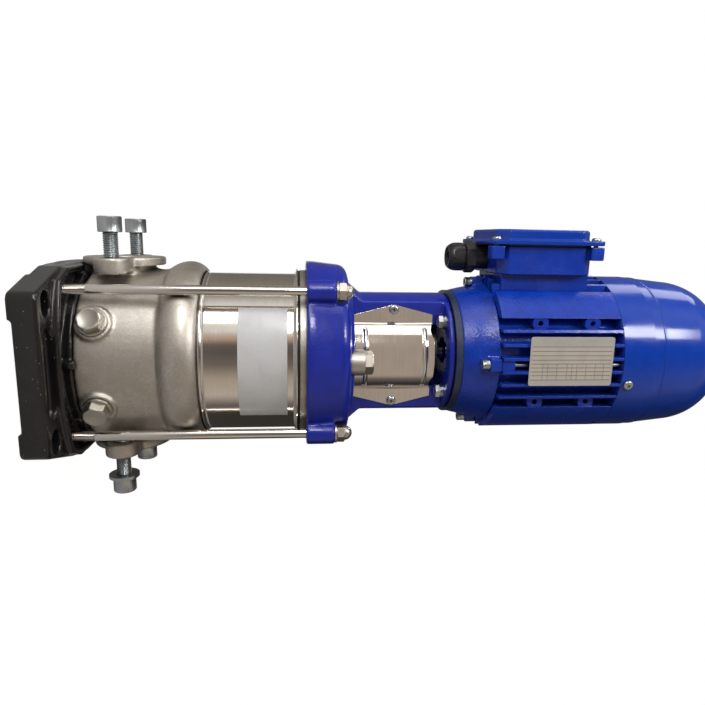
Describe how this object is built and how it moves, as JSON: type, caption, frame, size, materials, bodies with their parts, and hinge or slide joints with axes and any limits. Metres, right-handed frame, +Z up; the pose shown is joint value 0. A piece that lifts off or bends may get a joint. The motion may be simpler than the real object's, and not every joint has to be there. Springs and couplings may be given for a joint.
{
  "type": "vertical multistage pump",
  "caption": "Vertical in-line multistage water pump with slotted foot, polished sleeve between tie rods, coupling stool and finned flange motor with terminal box.",
  "frame": {"origin": "centre of the foot's bolt pattern, on the underside of the foot", "axes": "+Z up the shaft from foot to motor, ports along X with the suction side at -X under the terminal box, drain plugs and rating plate towards -Y"},
  "size_m": [0.2224, 0.21, 0.5729],
  "materials": {
    "black_paint": "glossy black paint over a casting",
    "cast_stainless": "blasted stainless casting",
    "polished_stainless": "polished stainless sheet and bar",
    "stage_stainless": "pressed stainless sheet",
    "stainless_fastener": "turned stainless",
    "zinc_fastener": "zinc-plated steel",
    "black_rubber": "moulded rubber",
    "seal_ceramic": "lapped ceramic",
    "seal_carbon": "carbon seal face in a driving collar",
    "stool_blue_paint": "deep blue paint with orange peel",
    "motor_blue_paint": "blue enamel over cast aluminium",
    "cover_blue_paint": "smooth blue enamel",
    "flange_ring_paint": "dark blue-grey paint",
    "phosphated_steel": "phosphated steel",
    "lamination_steel": "stacked laminations",
    "copper_winding": "varnished copper winding",
    "bearing_steel": "ground steel",
    "fan_plastic": "moulded plastic",
    "terminal_plastic": "moulded board with studs",
    "gland_plastic": "black moulded plastic",
    "rating_foil": "satin foil with bare fields",
    "label_film": "silver film, left bare"
  },
  "bodies": {
    "pump_unit": {"base_foot": "black_paint", "pump_casing": "cast_stainless", "casing_plugs": "stainless_fastener", "port_screws": "zinc_fastener", "port_washers": "zinc_fastener", "lower_ring_seal": "black_rubber", "outer_sleeve": "polished_stainless", "upper_ring_seal": "black_rubber", "head_cover": "cast_stainless", "seal_seat": "seal_ceramic", "vent_plug": "stainless_fastener", "motor_stool": "stool_blue_paint", "tie_rods": "polished_stainless", "rod_washers": "stainless_fastener", "domed_nuts": "stainless_fastener", "coupling_guards": "polished_stainless", "guard_screws": "zinc_fastener", "flange_ring": "flange_ring_paint", "drive_end_shield": "motor_blue_paint", "motor_bolts": "zinc_fastener", "motor_washers": "zinc_fastener", "motor_frame": "motor_blue_paint", "fan_end_shield": "motor_blue_paint", "frame_bolts": "zinc_fastener", "stator_core": "lamination_steel", "windings": "copper_winding", "bearing_outer_rings": "bearing_steel", "fan_cover": "cover_blue_paint", "cover_screws": "zinc_fastener", "terminal_box": "motor_blue_paint", "lid_gasket": "black_rubber", "terminal_lid": "cover_blue_paint", "lid_screws": "zinc_fastener", "terminal_board": "terminal_plastic", "gland_body": "gland_plastic", "gland_nut": "gland_plastic", "gland_seal": "black_rubber", "rating_plate": "rating_foil", "sleeve_label": "label_film", "stage_casing_1": "stage_stainless", "stage_casing_2": "stage_stainless", "stage_casing_3": "stage_stainless", "stage_casing_4": "stage_stainless", "stage_casing_5": "stage_stainless"},
    "rotor": {"pump_shaft": "bearing_steel", "shaft_nut": "stainless_fastener", "seal_rotor": "seal_carbon", "coupling_halves": "phosphated_steel", "coupling_screws": "zinc_fastener", "motor_shaft": "bearing_steel", "rotor_core": "lamination_steel", "bearing_inner_rings": "bearing_steel", "fan": "fan_plastic", "impeller_1": "stage_stainless", "impeller_2": "stage_stainless", "impeller_3": "stage_stainless", "impeller_4": "stage_stainless", "impeller_5": "stage_stainless"}
  },
  "joints": [
    {"name": "shaft_spin", "type": "hinge", "parent": "pump_unit", "child": "rotor", "pos_m": [0, 0, 0.3], "axis": [0, 0, 1], "continuous": true}
  ]
}
